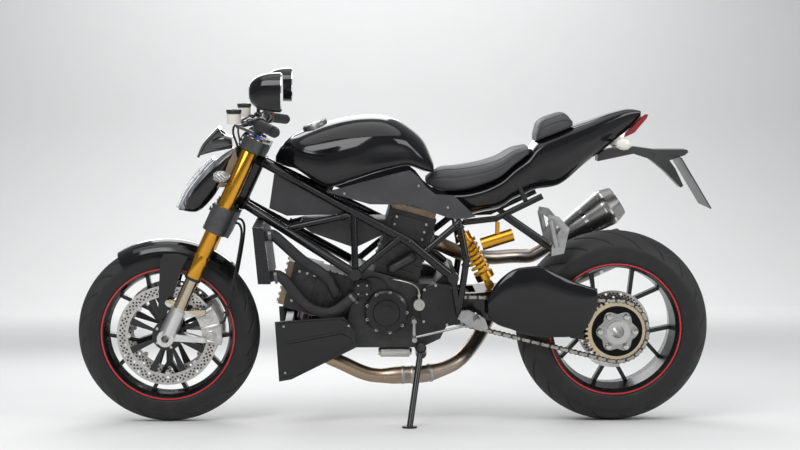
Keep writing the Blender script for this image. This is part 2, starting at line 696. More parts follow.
class MOTO_OT_solids(bpy.types.Operator):
    """Finishes the solids that keep their shape"""
    bl_idname = "moto.solids"
    bl_label = "Finish the solids"

    def execute(self, context):
        look = context.scene.moto_look
        stripe, gold = rgb(look.stripe), rgb(look.fork)
        black, mould, steel = (0.006, 0.006, 0.007), (0.02, 0.02, 0.021), (0.56, 0.55, 0.53)
        dress("front_fender belly_panels swingarm", paint("gloss_black_paint", rgb(look.body), 0.07))
        dress("frame_trellis rear_subframe side_stand", paint("frame_black_paint", black, 0.18))
        dress("shock_spring", paint("spring_paint", rgb(look.spring), 0.22))
        dress("front_rim", wheel_paint("front_wheel_paint", FRONT, black, stripe))
        dress("rear_rim", wheel_paint("rear_wheel_paint", REAR, black, stripe))
        dress("side_panels", plastic("satin_grey_panel", rgb(look.panel), 0.42))
        dress("airbox", plastic("black_plastic", mould, 0.5))
        dress("plate_holder", spotted("holder_plastic", mould, (0.72, 0.7, 0.66), (-0.012, 0.1, 0.935),
                                      (0.028, 0.021, 0.021), 0.42))
        dress("hand_controls", spotted("lever_black", (0.024, 0.024, 0.026), (0.66, 0.64, 0.58),
                                       (1.238, 0.235, 1.018), (0.024, 0.024, 0.0165), 0.34))
        dress("engine_crankcase engine_cylinders", cast("cast_grey", (0.06, 0.059, 0.058), 0.4))
        dress("engine_side_covers", cast("black_cover", (0.009, 0.009, 0.01), 0.24, 0.2))
        dress("cam_covers", cast("tan_cover", rgb(look.cover), 0.42, 0.7))
        dress("triple_clamps", cast("clamp_grey", (0.1, 0.1, 0.105), 0.38, 0.6))
        dress("handlebar", cast("control_black", (0.022, 0.022, 0.024), 0.36, 0.3))
        dress("drive_chain", cast("chain_steel", (0.09, 0.086, 0.08), 0.4, 0.9, 500.0))
        dress("front_calipers rear_caliper",
              cast("caliper_nickel", (0.7, 0.69, 0.67), 0.26, 0.95, 1300.0, 0.0003))
        dress("foot_pegs foot_controls", cast("bare_aluminium", (0.5, 0.5, 0.5), 0.34, 0.9, 1300.0, 0.0004))
        dress("radiators", fin_core("radiator_core", (0.26, 0.26, 0.265), 0.19))
        dress("coolant_hoses brake_hoses", rubber("hose_rubber", (0.007, 0.007, 0.008), 0.5))
        dress("grips", ribbed_rubber("grip_rubber", (0.022, 0.022, 0.023), 0.0045))
        dress("fork_outer_tubes", anodised("gold_tube", gold, 0.17))
        dress("shock_absorber", anodised("gold_damper", gold, 0.26))
        dress("fork_lowers", leg_metal("fork_leg", (0.5, 0.43, 0.32), (0.68, 0.68, 0.67)))
        dress("sump_canister", brushed("canister_metal", (0.62, 0.62, 0.6), 0.3, (12.0, 700.0, 700.0)))
        dress("mufflers", brushed("muffler_steel", (0.3, 0.295, 0.29), 0.3, (500.0, 30.0, 500.0)))
        dress("front_axle rear_axle", brushed("axle_steel", (0.56, 0.56, 0.55), 0.28))
        dress("front_discs", disc_steel("front_disc_steel", FRONT, steel, 0.165, 0.036))
        dress("rear_disc", disc_steel("rear_disc_steel", REAR, steel, 0.122, 0.034))
        dress("rear_sprocket", sprocket_metal("brass_sprocket", (0.55, 0.45, 0.31), (0.5, 0.5, 0.49)))
        dress("front_indicators", lamp_plastic("clear_lamp", (0.55, 0.54, 0.53), 0.012))
        dress("tail_light", lamp_plastic("red_lamp", rgb(look.tail), 0.006))
        dress("mirror_glass", clear_glass("mirror_face", (0.82, 0.83, 0.84), 0.03, Metallic=1.0))
        return {"FINISHED"}


# Columns of the tank, the tail and the seats: along, top, bottom, half width
TANK = [(1118, 890, 868, 34), (1100, 922, 860, 50), (1078, 944, 854, 80), (1045, 962, 846, 122),
        (955, 997, 792, 152), (871, 1017, 812, 166), (792, 1022, 838, 168), (737, 1012, 852, 158),
        (686, 985, 860, 138), (635, 939, 842, 108), (604, 872, 838, 84)]
TAIL = [(560, 774, 700, 70), (500, 780, 692, 90), (442, 797, 704, 104), (386, 826, 716, 108),
        (345, 860, 742, 106), (300, 894, 762, 102), (262, 938, 778, 98), (183, 974, 795, 92),
        (100, 1002, 865, 80), (20, 1030, 925, 58), (-40, 1043, 975, 40), (-80, 1038, 1018, 24)]
SEAT = [(623.4, 820.65, 798.6, 58), (581, 848.6, 778.6, 80), (523, 854.6, 781.6, 105),
        (460, 864.6, 798.6, 125), (418.6, 875.6, 812.5, 130), (384, 888.7, 830.7, 125),
        (342.5, 912.6, 864.6, 112), (296.8, 923.6, 898.7, 96)]
PAD = [(268, 967.9, 939.9, 60), (254, 1003.9, 945.9, 78), (215, 1021.9, 961.9, 84),
       (175, 1029.9, 977.9, 78), (150, 1007.9, 987.9, 60)]
# The knee's dent in the tank's flank: along, up, half length, half height, depth
KNEE = (735.0, 905.0, 95.0, 36.0, 10.0)
# The frame's rails under the tank and the tail, each from one end to the other
TANK_RAIL = ((1180.0, 30.0, 878.0), (680.0, 150.0, 617.0))
TAIL_RAIL = ((401.2, 100.1, 690.2), (249.9, 89.7, 762.65))
# Middle and tilt of the tank's cap, and its radius and height from the outside in
CAP_AT = np.array([985.0, 0.0, 972.0])
CAP_TILT = math.radians(20.0)
CAP = [(42, 0), (42, 20), (40, 23), (36, 24), (35, 21.5), (30, 21.5), (29, 25), (10, 26), (0.5, 26)]


def posts(start, end, share, r, low, high):
    """A pair of round posts square to a frame rail, from low to high above its middle, at a share of it."""
    start, end = np.array(start), np.array(end)
    rail = unit(end - start)
    return both(lathe([(r, low), (r, high)], 24, start + (end - start) * share, UP - rail * rail[2]))


class MOTO_OT_bodywork(bpy.types.Operator):
    """Makes the smooth skins of the tank and the tail, and the tank's cap"""
    bl_idname = "moto.bodywork"
    bl_label = "Tank and tail"

    def execute(self, context):
        gloss = FINISHES["gloss_black_paint"]
        tank = domed(lengthwise(TANK, 8, 96, 2.3, 5.0, 0.34), 2.0)
        x, y, z = np.moveaxis(tank, -1, 0)
        along, up, length, height, depth = KNEE
        dent = depth * np.exp(-((x - along) / length) ** 2 - ((z - up) / height) ** 2)
        tank[..., 1] = y - np.sign(y) * np.minimum(dent, np.abs(y))
        feet = posts(*TANK_RAIL, share=0.45, r=10, low=15.3, high=60)
        stand_in("tank_skin", joined([hull(tank), feet]), "chassis", "fuel_tank", gloss)
        tail = domed(lengthwise(TAIL, 8, 80, 4.0, 2.6, 0.6), 2.0)
        feet = posts(*TAIL_RAIL, share=0.67, r=8, low=10.3, high=76)
        stand_in("tail_skin", joined([hull(tail), feet]), "chassis", "tail_fairing", gloss)
        axis = np.array([math.sin(CAP_TILT), 0.0, math.cos(CAP_TILT)])
        a = round_angles(7)[:, None]
        ring = 38.5 * (np.cos(a) * np.cross(axis, LEFT) + np.sin(a) * LEFT)
        screws = bolts(CAP_AT + axis * 23.2 + ring, axis, 2.6)
        put("tank_cap", joined([lathe(CAP, 64, CAP_AT, axis), screws]), "chassis",
            brushed("cap_metal", (0.3, 0.3, 0.3), 0.34))
        return {"FINISHED"}


def stitches(line, pitch):
    """Frames for short stitches laid end to end along a line."""
    s = np.concatenate([[0], np.cumsum(np.linalg.norm(np.diff(line, axis=0), axis=1))])
    at = np.arange(pitch, s[-1] - pitch, pitch)
    p, q = (np.stack([np.interp(place, s, line[:, i]) for i in range(3)], -1) for place in (at, at + 0.5))
    return frames_along(p, q - p)


class MOTO_OT_seats(bpy.types.Operator):
    """Makes the padded seat and the passenger's pad with their seams"""
    bl_idname = "moto.seats"
    bl_label = "Seats"

    def execute(self, context):
        depth = context.scene.moto_sizes.seam * 1000.0
        cover = seat_cover("seat_vinyl", rgb(context.scene.moto_look.seat))
        thread = rubber("seat_thread", (0.07, 0.07, 0.075), 0.7)
        stitch = lathe([(0.1, -1.9), (0.7, -1.4), (0.8, 0), (0.7, 1.4), (0.1, 1.9)], 6)
        n = 96
        angle = 360.0 * np.arange(n) / n
        top = np.clip(np.sin(np.radians(angle)), 0, 1) ** 2
        for name, node, rows, seams in (("seat_pad", "rider_seat", SEAT, (52.0, 128.0)),
                                        ("passenger_seat_pad", "passenger_pad", PAD, (48.0, 132.0))):
            grid = lengthwise(rows, 14, n, 3.0, 6.0, 0.45)
            sunk = sum(depth * np.exp(-((angle - seam) / 2.6) ** 2) for seam in (*seams, 8.0, 172.0))
            swell = 2.5 * np.sin(np.linspace(0, np.pi, len(grid)))[:, None] * top
            grid = grid + unit(grid - grid.mean(1, keepdims=True)) * (swell - sunk)[..., None]
            pad = stand_in(name, hull(domed(grid, 3.0)), "chassis", node, cover, 80.0)
            columns = [round((seam + side) / 360 * n) % n for seam in seams for side in (-4.5, 4.5)]
            lines = [copies(stitch, stitches(grid[6:-6, column], 5.0)) for column in columns]
            put(name + "_thread", joined(lines), "chassis", thread)
        return {"FINISHED"}


# Columns: along and up of the top, along and up of the bottom, half width
LAMP = [(1438, 714, 1432, 708, 24), (1400, 780, 1378, 703, 58), (1348, 842, 1332, 742, 78),
        (1300, 888, 1294, 800, 84), (1250, 916, 1256, 890, 66)]
LENS = [(1447.4, 719.4, 1438.8, 714.3, 18), (1411.3, 792.2, 1400.4, 782.2, 44),
        (1359.2, 856.4, 1348.9, 844.2, 58), (1326.3, 884.3, 1317.3, 875.3, 58)]
SCREEN = [(1376, 886, 1366, 882, 44), (1352, 934, 1340, 926, 62), (1306, 984, 1296, 972, 58)]
DASH = [(1325.2, 949.7, 1319.2, 904, 48), (1288, 958, 1284, 908, 56), (1262, 950, 1258, 912.4, 50)]
# The headlight's bowls: radius and height, the way they face, and where they stand
BOWL = [(26, 0), (26, 3.0), (24, 4.2), (21, 2.0), (14, 1.0), (9, 3.0), (5, 4.6), (0.3, 5.0)]
BOWL_AXIS = np.array([0.72, 0.0, 0.69])
BOWLS = np.array([(1372.0, 22.0, 828.0), (1372.0, -22.0, 828.0)]) - BOWL_AXIS * 7.0
# Middle of the left mirror's face; its depth, half width and half height; shares of depth and width
MIRROR = np.array([1082.0, 430.0, 1108.0])
MIRROR_SIZE = np.array([95.0, 58.0, 60.0])
MIRROR_ROWS = [(0, 0.3), (0.08, 0.55), (0.3, 0.82), (0.6, 0.96), (1, 1)]
# The left half of the bar
BAR = np.array([(1172, 0, 985), (1172, 70, 985), (1166, 180, 1008), (1158, 250, 1002),
                (1108, 382, 988)], float)


def shell(rows, k, n, power, bulge):
    """A slanted body with domed ends."""
    return hull(domed(slanted(rows, k, n, power), bulge))


def stays(w):
    """The two short round stays from the front of a fork clamp."""
    return both(lathe([(7, 0.3), (7, 19)], 20, fork_point(27, 42, w), FORK_AHEAD))


class MOTO_OT_lamps(bpy.types.Operator):
    """Makes the headlight with its bowls, the screen, the dash and the mirrors"""
    bl_idname = "moto.lamps"
    bl_label = "Lamps and mirrors"

    def execute(self, context):
        stand_in("headlight_skin", joined([shell(LAMP, 8, 64, 3.4, 2.0), stays(440)]), "steering",
                 "headlight_shell", lamp_paint("lamp_black_paint", rgb(context.scene.moto_look.body)))
        glass = clear_glass("lamp_glass", (0.9, 0.92, 0.93), 0.02, Transmission_Weight=0.85, IOR=1.35,
                            Coat_Weight=1.0)
        stand_in("headlight_glass", shell(LENS, 8, 48, 3.4, 1.0), "steering", "headlight_lens", glass)
        put("headlight_bowls", copies(lathe(BOWL, 40), frames_along(BOWLS, BOWL_AXIS, 0.75)), "steering",
            polished("bowl_chrome", (0.8, 0.8, 0.8), 0.12, 80.0))
        smoke = clear_glass("smoked_screen", (0.02, 0.02, 0.022), 0.06, Coat_Weight=1.0,
                            Coat_Roughness=0.04)
        top = joined([shell(SCREEN, 10, 48, 3.4, 1.0), shell(DASH, 8, 48, 4.0, 1.0), stays(676)])
        stand_in("screen_and_dash", top, "steering", "instruments", smoke)
        back, wide = np.split(finer(MIRROR_ROWS, 8), 2, axis=1)
        side, up = rounded(64, 2.6, 2.6)
        case = MIRROR + MIRROR_SIZE * np.stack([1 - back + 0 * side, wide * side, wide * up], -1)
        lip = MIRROR + (case[-1:] - MIRROR) * [1, 0.955, 0.955]
        case = hull(np.concatenate([case, lip, lip + [2.0, 0, 0]]))
        foot = BAR[2] * 0.7 + BAR[3] * 0.3
        elbow = foot + UP * 52.0
        arm = MIRROR + MIRROR_SIZE * [0.5, -0.6, -0.5] - elbow
        route = [foot + UP * h for h in (19.4, 30.0, 42.0)]
        route += [elbow + arm * s for s in (0.05, 0.2, 0.6, 1.0)]
        stem = hull(swept(route, 12.0, 20, (1, 0, 0), 5))
        boot = lathe([(11, 0), (11, 8), (8, 14), (6.2, 15)], 24, route[0])
        stand_in("mirror_cases", both(joined([case, stem, boot])), "steering", "mirrors",
                 FINISHES["gloss_black_paint"])
        return {"FINISHED"}


# Diameters of the pipes and of the collector, and the collector's back, front and length of its cones
PIPE, COLLECTOR = 48.0, 58.0
COLLECTOR_BACK, COLLECTOR_FRONT, COLLECTOR_CONE = 570.0, 770.0, 40.0
SEAMS = (704.0, 668.0, 611.0)
FRONT_PIPE = [(1019.1, 0, 374.9), (1027, 0, 346), (1012, 12, 285), (958, 30, 228), (901, 38, 200),
              (807, 40, 161), (700, 40, 160), (611, 36, 166), (520, 5, 195), (450, -60, 255),
              (400, -110, 330), (350, -140, 410), (295, -165, 425), (233, -172, 396),
              (198.6, -172, 402.3), (165.25, -172, 424.35)]
REAR_PIPE = [(614.4, -10, 604), (587.4, -10, 596.6), (545, -36, 575), (480, -84, 545), (400, -128, 530),
             (320, -160, 530), (262, -171, 529), (230.6, -172, 541.8), (197.25, -172, 563.85)]
# The flanges' radius and height, and where and which way the pipes leave the cylinders
FLANGE = [(24, 2), (36, 2), (37, 4), (37, 9), (35, 11), (24, 12)]
OUTLETS = [(FRONT_PIPE[0], (0.2656, 0, -0.9641)), (REAR_PIPE[0], (-0.9641, 0, -0.2656))]
# Where the mufflers start and how they tilt, and their outside: places along them and radii
MUFFLERS = [(197.0, -172.0, 564.0), (165.0, -172.0, 424.5)]
MUFFLER_TILT = math.radians(33.5)
CONE = np.array([(0, 17.2, 114.4, 223.1, 240.2, 248.8, 286), (27.9, 29.2, 46.8, 63.0, 65.0, 63.7, 52.0)])
MOUTH = [(27, 279), (29.6, 287), (40, 288), (50, 287.2), (53, 284), (51, 281)]
# Columns of the mufflers' bands: place along the muffler, width, rise
BANDS = [(4, 15, 1.6), (150, 14, 1.4), (228, 5, 1.2), (243, 6, 1.0)]


class MOTO_OT_exhaust(bpy.types.Operator):
    """Makes the bent pipes with the collector, their flanges and seams, and the mufflers' bands"""
    bl_idname = "moto.exhaust"
    bl_label = "Exhaust"

    def execute(self, context):
        curve = finer(FRONT_PIPE, 6)
        x = curve[:, 0]
        inside = np.clip([x - COLLECTOR_BACK, COLLECTOR_FRONT - x], 0, COLLECTOR_CONE) / COLLECTOR_CONE
        wide = PIPE + (COLLECTOR - PIPE) * inside.prod(0)
        pipes = [hull(swept(FRONT_PIPE, wide, 40, LEFT)), hull(swept(REAR_PIPE, PIPE, 40, UP))]
        stand_in("exhaust_skin", joined(pipes), "chassis", "exhaust_pipes", header_metal("heated_steel"))
        axis = (-math.cos(MUFFLER_TILT), 0.0, math.sin(MUFFLER_TILT))
        bands = []
        for at in MUFFLERS:
            for place, width, rise in BANDS:
                t = place + width * np.array([0, 0.06, 0.94, 1.0])
                r = np.interp(t, *CONE) + [-2.0, rise, rise, -2.0]
                bands.append(lathe(np.stack([r, t], -1), 64, at, axis, close=False))
            bands.append(lathe(MOUTH, 64, at, axis, close=False))
        put("muffler_bands", joined(bands), "chassis",
            polished("polished_band", (0.7, 0.7, 0.69), 0.14, 60.0))
        rings = [lathe(FLANGE, 48, at, way, close=False) for at, way in OUTLETS]
        for place in SEAMS:
            k = np.argmin(np.abs(x - place))
            r = wide[k] / 2
            seam = [(r - 2, -6), (r + 1, -5), (r + 1.8, -3), (r + 1.8, 3), (r + 1, 5), (r - 2, 6)]
            rings.append(lathe(seam, 48, curve[k], curve[k + 1] - curve[k - 1], close=False))
        put("exhaust_flanges", joined(rings), "chassis", FINISHES["bare_aluminium"])
        return {"FINISHED"}


RIM_D = 444.0
# Columns: piece, CAD solid, body, axle, diameter, width, grooves on each half
TYRES = [("front_tyre_skin", "front_tyre", "front_wheel", FRONT, 600, 120, 22),
         ("rear_tyre_skin", "rear_tyre", "rear_wheel", REAR, 640, 190, 20)]


def tyre_grid(centre, d, w, grooves, depth):
    """A tyre's skin: its section turned round the axle, sunk where slanted grooves cross the tread."""
    r0, half = RIM_D / 2, w / 2
    rw = r0 + (d / 2 - r0) * 0.4
    low = np.radians(np.linspace(90, 0, 12))
    wall = np.stack([rw - (rw - r0) * np.sin(low), half - half * 0.1 * (1 - np.cos(low))], -1)
    a = np.radians(np.linspace(0, 180, 81))
    crown = np.stack([rw + (d / 2 - rw) * np.sin(a), half * np.cos(a)], -1)
    r, y = np.split(np.concatenate([wall, crown[1:-1], (wall * [1, -1])[::-1]]), 2, axis=1)
    turn = round_angles(720)
    share = np.abs(y) / half
    phase = (turn / math.tau * grooves - share ** 1.3 * 1.5 + np.where(y > 0, 0.0, 0.5)) % 1.0
    reach = np.clip((share - 0.12) / 0.06, 0, 1) * np.clip((0.97 - share) / 0.06, 0, 1)
    sunk = depth * np.exp(-((phase - 0.5) / 0.055) ** 2) * (r > rw) * reach
    r, y = r - sunk * 0.9, y - sunk * 0.43 * np.sign(y)
    return centre + r[..., None] * spoke(turn) + y[..., None] * LEFT


class MOTO_OT_tyres(bpy.types.Operator):
    """Makes both tyres with the grooves of a road tread"""
    bl_idname = "moto.tyres"
    bl_label = "Tyres"

    def execute(self, context):
        depth = context.scene.moto_sizes.groove * 1000.0
        for name, node, body, at, d, w, grooves in TYRES:
            skin = hull(tyre_grid(at, d, w, grooves, depth), wrap_rows=True)
            tread = tyre_rubber(node + "_rubber", at, d / 2000.0, w / 2000.0, grooves)
            stand_in(name, skin, body, node, tread, 50.0)
        return {"FINISHED"}


# The chain's loop: a turn round each sprocket and two straight runs
PITCH = 15.875
LINKS = 98
REAR_R = PITCH / 2 / math.sin(math.pi / 40)
FRONT_R = PITCH / 2 / math.sin(math.pi / 15)
FRONT_SPROCKET = np.array([567.0, 0.0, 398.0])


def chain_pins():
    """Pins at even shares of the loop: a point at an angle and radius round a centre.

    On a sprocket the angle goes round; on a straight run it stays, and centre and radius go from one
    sprocket's to the other's.
    """
    gap = FRONT_SPROCKET - REAR
    run, lie = np.linalg.norm(gap), math.atan2(gap[2], gap[0])
    off = math.asin((REAR_R - FRONT_R) / run)
    straight = run * math.cos(off)
    ends = np.cumsum([0, (math.pi + 2 * off) * REAR_R, straight, (math.pi - 2 * off) * FRONT_R, straight])
    s = ends[-1] * np.arange(LINKS) / LINKS
    top, low = lie + math.pi / 2 - off, lie - math.pi / 2 + off
    turn = np.interp(s, ends, [low + math.tau, top, top, low, low])
    share = np.interp(s, ends, [0, 0, 1, 1, 0])[:, None]
    return REAR + gap * share + (REAR_R + (FRONT_R - REAR_R) * share) * spoke(turn)


def link_plate(thick):
    """A link's side plate: two round eyes with a waist, as an outline with a bevelled edge."""
    c, s = np.cos(round_angles(28)), np.sin(round_angles(28))
    x = PITCH / 2 * c + 5.2 * np.sign(c) * np.abs(c) ** 0.6
    z = 6.6 * np.sign(s) * np.abs(s) ** 0.62 * (1 - 0.36 * np.exp(-(c * 2.2) ** 2))
    layers = [(1.0, 0.0), (1.0, thick * 0.75), (0.93, thick)]
    return quads(np.stack([np.stack([x * k, z * k, 0 * x + h], -1) for k, h in layers]))


class MOTO_OT_chain(bpy.types.Operator):
    """Makes the chain's outer plates and its riveted pins"""
    bl_idname = "moto.chain"
    bl_label = "Chain links"

    def execute(self, context):
        pins = chain_pins()
        nexts = np.roll(pins, -1, axis=0)
        mids, ahead = ((pins + nexts) / 2)[::2], unit(nexts - pins)[::2]
        rivet = lathe([(2.6, 0), (2.6, 2.3), (2.0, 2.9), (0.05, 3.0)], 10)
        parts = []
        for y, way in ((120.9, LEFT), (103.1, -LEFT)):
            out = np.broadcast_to(way, ahead.shape)
            plates = np.stack([mids + LEFT * y, ahead, np.cross(out, ahead), out], 1)
            parts += [copies(link_plate(1.7), plates), copies(rivet, frames_along(pins + LEFT * y, way))]
        put("chain_plates", joined(parts), "chassis",
            cast("link_steel", (0.5, 0.48, 0.44), 0.28, 0.95, 600.0), 30.0)
        return {"FINISHED"}


# Radius and height of a disc's button and of a caliper's cap
BUTTON = [(8, 0), (8, 1.0), (6.6, 1.6), (4.4, 1.6), (4.0, 0.9), (0.05, 0.9)]
CALIPER_CAP = [(17, 0), (17, 2.2), (15.5, 3.4), (13, 3.4), (12, 2.2), (6, 2.2), (5, 3.0), (0.05, 3.0)]


class MOTO_OT_brakes(bpy.types.Operator):
    """Makes the discs' buttons and screws, and the calipers' caps and ribs"""
    bl_idname = "moto.brakes"
    bl_label = "Brakes"

    def execute(self, context):
        button = lathe(BUTTON, 20)
        steel = polished("button_steel", (0.62, 0.61, 0.58), 0.26)
        front = copies(button, frames_along(circle_of(FRONT + LEFT * 69.0, 126.5, 8), LEFT))
        screws = bolts(circle_of(FRONT + LEFT * 69.2, 40.0, 5, 36.0), LEFT, 5.5)
        put("front_disc_buttons", both(joined([front, screws])), "front_wheel", steel)
        rear = copies(button, frames_along(circle_of(REAR + LEFT * 37.0, 86.0, 8), LEFT, 0.8))
        put("rear_disc_buttons", rear, "rear_wheel", steel)
        spots = circle_of(FRONT + LEFT * 96.0, 147.0, 2, 156.5, 44.0)
        caps = copies(lathe(CALIPER_CAP, 32), frames_along(spots, LEFT))
        ribs = [lathe([(5.5, 118), (6.5, 120), (6.5, 176), (5.5, 178)], 16, FRONT + LEFT * 93.5, spoke(a))
                for a in np.radians([147.5, 167.0, 186.5])]
        put("front_caliper_caps", both(joined([caps, *ribs])), "steering",
            FINISHES["caliper_nickel"])
        return {"FINISHED"}


# Radius and height along the fork of its tubes, seals, caps and stem nut, and of the ends of the bar
FORK_TUBE = [(21.5, 217), (25.2, 216), (26, 217), (26, 296), (25.6, 297), (25.6, 299), (26, 300),
             (26, 712.5), (25, 714)]
FORK_SEAL = [(21.4, -7), (26.5, -6), (27.4, -2), (27.4, 1.5), (26.2, 2.2)]
FORK_CAP = [(25, 0), (25, 5), (22, 7), (12, 7), (11, 11), (6, 11.5), (5, 10), (0.1, 10)]
STEM_NUT = [(17, 0), (17, 4), (15, 6), (9, 6), (8, 3), (0.1, 3)]
BAR_END = [(10, 11.2), (14.5, 11.4), (15.2, 13), (14, 21), (11, 23.5), (0.1, 24)]
# Half the distance between the fork's legs
LEG = 106


class MOTO_OT_fork_trim(bpy.types.Operator):
    """Makes the fork's tubes, caps, seals, clamp bolts and the ends of the bar"""
    bl_idname = "moto.fork_trim"
    bl_label = "Fork trim"

    def execute(self, context):
        tube = lathe(FORK_TUBE, 72, fork_point(0, LEG, 0), FORK_UP)
        stand_in("fork_tube_skins", both(tube), "steering", "fork_outer_tubes", FINISHES["gold_tube"])
        seal = lathe(FORK_SEAL, 40, fork_point(0, LEG, 216), FORK_UP, close=False)
        put("fork_seals", both(seal), "steering", FINISHES["hose_rubber"])
        cap = lathe(FORK_CAP, 32, fork_point(0, LEG, 714), FORK_UP)
        put("fork_caps", both(cap), "steering",
            anodised("blue_cap", (0.05, 0.14, 0.45), 0.3))
        spots = [fork_point(36.5, y, w) for w in (395, 456, 684, 700) for y in (LEG - 14, LEG + 14)]
        nut = lathe(STEM_NUT, 6, fork_point(-28, 0, 712.2), FORK_UP)
        put("clamp_bolts", joined([both(bolts(spots, FORK_AHEAD, 4.2)), nut]), "steering",
            polished("bolt_steel", (0.5, 0.5, 0.49), 0.3), 30.0)
        put("bar_ends", both(lathe(BAR_END, 32, BAR[4], BAR[4] - BAR[3])), "steering",
            FINISHES["control_black"])
        return {"FINISHED"}


# The left fluid cup with its lid, the foot of its stay, and the routes of hose and wires to the headlight
CUP = np.array([1238.0, 235.0, 1003.0])
LID = [(21.5, 35), (24, 36), (24, 43), (22.5, 45.6), (9, 45.6), (8.6, 46.6), (0.1, 46.8)]
STAY_FOOT = np.array([1194.0, 207.0, 1008.0])
PUMP_HOSE = [(1192, 196, 1004), (1216, 184, 1004), (1243, 152, 992), (1250, 106, 964), (1242, 70, 930),
             (1238, 52, 898), (1254, 44, 870), (1288, 40, 852)]
WIRES = [(1158, 234, 984), (1164, 190, 980), (1180, 140, 977), (1206, 104, 970), (1226, 76, 946),
         (1233, 54, 914), (1246, 34, 886), (1276, 22, 862)]
# Columns of the switch box: share of the way along it, half width, half height
SWITCH_BOX = [(0, 14, 14), (0.05, 19, 21), (0.5, 20.5, 23), (0.95, 19, 21), (1, 14, 14)]


def boxed(start, end, rows, n):
    """A rounded box on a line: at each row's share of the way a superellipse of its half sizes."""
    share, wide, tall = np.split(np.asarray(rows, float)[..., None], 3, axis=1)
    w = unit(end - start)
    u = unit(np.cross(w, UP))
    side, up = (part[:, None] for part in rounded(n, 3.2, 3.2))
    return start + share * (end - start) + wide * side * u + tall * up * np.cross(u, w)


class MOTO_OT_cockpit(bpy.types.Operator):
    """Makes the switch boxes, the hand pumps with their cups' lids, and the hoses and wires ahead of them"""
    bl_idname = "moto.cockpit"
    bl_label = "Cockpit fittings"

    def execute(self, context):
        bend, grip = BAR[3] - BAR[2], BAR[4] - BAR[3]
        first, last = BAR[2] + bend * 0.64, BAR[3] + grip * 0.05
        pump = lathe([(6, 0), (10.5, 1), (12, 4), (12, 30), (9.5, 33), (9.5, 52), (6, 55)], 32,
                     BAR[2] + bend * 0.1 + [27.0, 0, 3.0], bend)
        arm = CUP + [-8.0, -6.0, 3.0] - STAY_FOOT
        reach = np.linalg.norm(arm)
        stay = lathe([(6, 0), (4.5, 8), (4.5, reach - 8), (6, reach)], 16, STAY_FOOT, arm)
        parts = [hull(boxed(first, last, SWITCH_BOX, 48)), pump, lathe(LID, 40, CUP), stay]
        put("hand_pumps", both(joined(parts)), "steering", FINISHES["control_black"], 35.0)
        tubes = [hull(swept(route, d, 12, UP, 8)) for route, d in ((PUMP_HOSE, 7.0), (WIRES, 10.0))]
        put("cockpit_hoses", both(joined(tubes)), "steering", FINISHES["hose_rubber"])
        back = np.array([-1.0, 0.0, 0.25])
        at = (first + last) / 2 * [1, -1, 1] + back * 19.0 + UP * 8.0
        key = lathe([(5.5, -4), (5.5, 3), (4.6, 4.2), (0.1, 4.6)], 20, at, back)
        put("stop_switch", key, "steering",
            plastic("switch_red", (0.5, 0.012, 0.012), 0.35))
        return {"FINISHED"}


# Columns: joint, next joint on the tube, tube radius, distance of the bead from the joint
WELDS = [((859, 145, 515), (864, 106, 713), 11, 22), ((859, 145, 515), (714, 150, 635), 11, 22),
         ((714, 150, 635), (859, 145, 515), 11, 18), ((880, 110, 703), (1090, 76, 653), 11, 20),
         ((1090, 76, 653), (880, 110, 703), 11, 20), ((640, 150, 584), (523, 130, 680), 11, 20),
         ((523, 130, 680), (640, 150, 584), 11, 16), ((523, 130, 680), (500, 150, 560), 11, 16),
         ((500, 150, 560), (523, 150, 390), 11, 16), ((1180, 30, 878), (680, 150, 617), 15, 26),
         ((1240, 28, 743), (859, 145, 515), 15, 26)]


class MOTO_OT_welds(bpy.types.Operator):
    """Makes the rippled weld beads where the frame's tubes meet"""
    bl_idname = "moto.welds"
    bl_label = "Weld beads"

    def execute(self, context):
        bead = context.scene.moto_sizes.weld * 1000.0
        a, b = round_angles(72)[:, None], round_angles(8)[:, None]
        thick = (bead / 2 * (1 + 0.16 * np.sin(a * 18)))[:, None]
        rings = []
        for at, to, r, off in WELDS:
            way = unit(np.subtract(to, at))
            side = unit(np.cross(way, [0.2, 0.9, 0.3]))
            ring = (np.cos(a) * side + np.sin(a) * np.cross(way, side))[:, None]
            grid = at + way * off + ring * (r + thick * np.cos(b)) + way * (thick * np.sin(b))
            rings.append(hull(grid, wrap_rows=True))
        put("weld_beads", both(joined(rings)), "chassis", FINISHES["frame_black_paint"],
            60.0)
        return {"FINISHED"}


# Places on the engine: crankshaft, clutch cylinder and water pump in side view, clutch and oil filler on
# the right; and the tilt of the front cylinder
CRANK = np.array([757.0, 0.0, 385.0])
SLAVE = np.array([651.0, 0.0, 411.0])
PUMP = np.array([835.0, 0.0, 462.0])
CLUTCH = (640, -125.4, 425)
FILLER = (712, -95.2, 480)
V_TILT = math.radians(15.4)
SLAVE_PIPE = [(651, 127, 450), (656, 128, 466), (676, 126, 480), (706, 120, 488), (735, 108, 492),
              (748, 90, 490)]
# Radius and height of the turned covers
SLAVE_CAP = [(20, 0), (20, 12), (18, 14.4), (9, 14.8), (8, 13), (0.1, 13)]
SLAVE_UNION = [(4, 0), (4, 10), (6, 11), (6, 18), (3, 19), (3, 27)]
PUMP_FACE = [(27, -2), (27, 2), (25, 4.5), (13, 6.5), (11, 5.5), (0.1, 5.5)]
FILLER_CAP = [(20, 0), (20, 6), (17, 9), (8, 9), (7, 12), (0.1, 12)]
COVER_BOLTS = [(512, 132.2, 356), (560, 132.2, 346), (636, 132.2, 357), (634, 132.2, 462),
               (598, 132.2, 476), (545, 132.2, 470), (511, 132.2, 444)]
# Places and directions of the clamps near the ends of the coolant hoses
HOSE_ENDS = [((1133, 150, 641.9), (-24.8, 0, 3.1)), ((925, 89, 440), (0, -1, 0)),
             ((1116, 130, 506.9), (-24.8, 0, 3.0)), ((868, 114, 433.7), (-16.7, 0, 14.3))]


